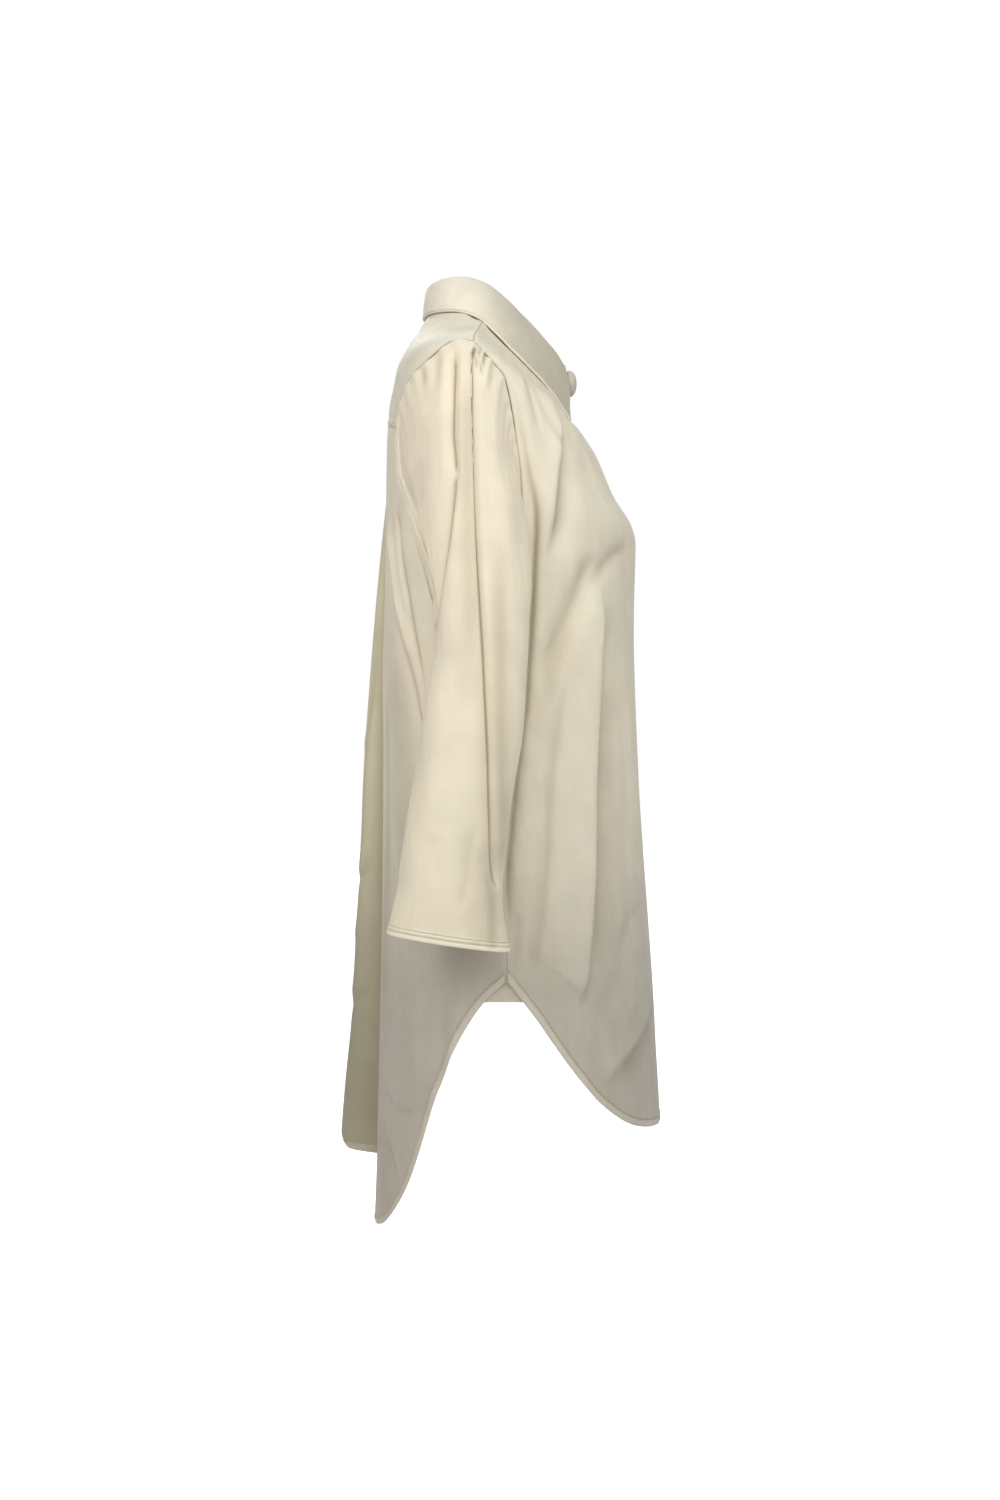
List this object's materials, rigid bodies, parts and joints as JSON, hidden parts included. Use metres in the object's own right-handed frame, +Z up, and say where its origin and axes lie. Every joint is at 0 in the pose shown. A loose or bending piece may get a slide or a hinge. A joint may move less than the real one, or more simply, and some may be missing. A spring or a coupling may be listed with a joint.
{
  "type": "button-up shirt",
  "caption": "Loose button-up shirt filled out as when worn: pointed collar, domed neck button, hidden placket, hanging sleeves, back yoke, split back over a pleat and shirt-tail hems.",
  "frame": {"origin": "middle of the neck opening, level with the inner ends of the shoulder seams, where the wearer's shoulders hold the shirt up", "axes": "+Z up towards the collar, +Y towards the wearer's back (the button side faces -Y), +X towards the wearer's left side"},
  "size_m": [0.5966, 0.3173, 0.9211],
  "materials": {
    "crepe": "cream crepe, matt with a faint sheen",
    "crepe_shade": "the same cream crepe, seen in the shade",
    "crepe_interfaced": "cream crepe over interfacing, matt and smooth",
    "covered_button": "button covered in the same crepe, taut"
  },
  "bodies": {
    "root": {"yoke": "crepe", "back_right": "crepe", "back_left": "crepe", "back_pleat": "crepe_shade", "front_right": "crepe", "front_left": "crepe", "placket_fly": "crepe_shade", "collar_stand": "crepe_interfaced", "collar_fall": "crepe_interfaced", "sleeve_right": "crepe", "sleeve_left": "crepe", "vent_gusset_right": "crepe_shade", "vent_gusset_left": "crepe_shade", "neck_button": "covered_button"}
  },
  "joints": []
}
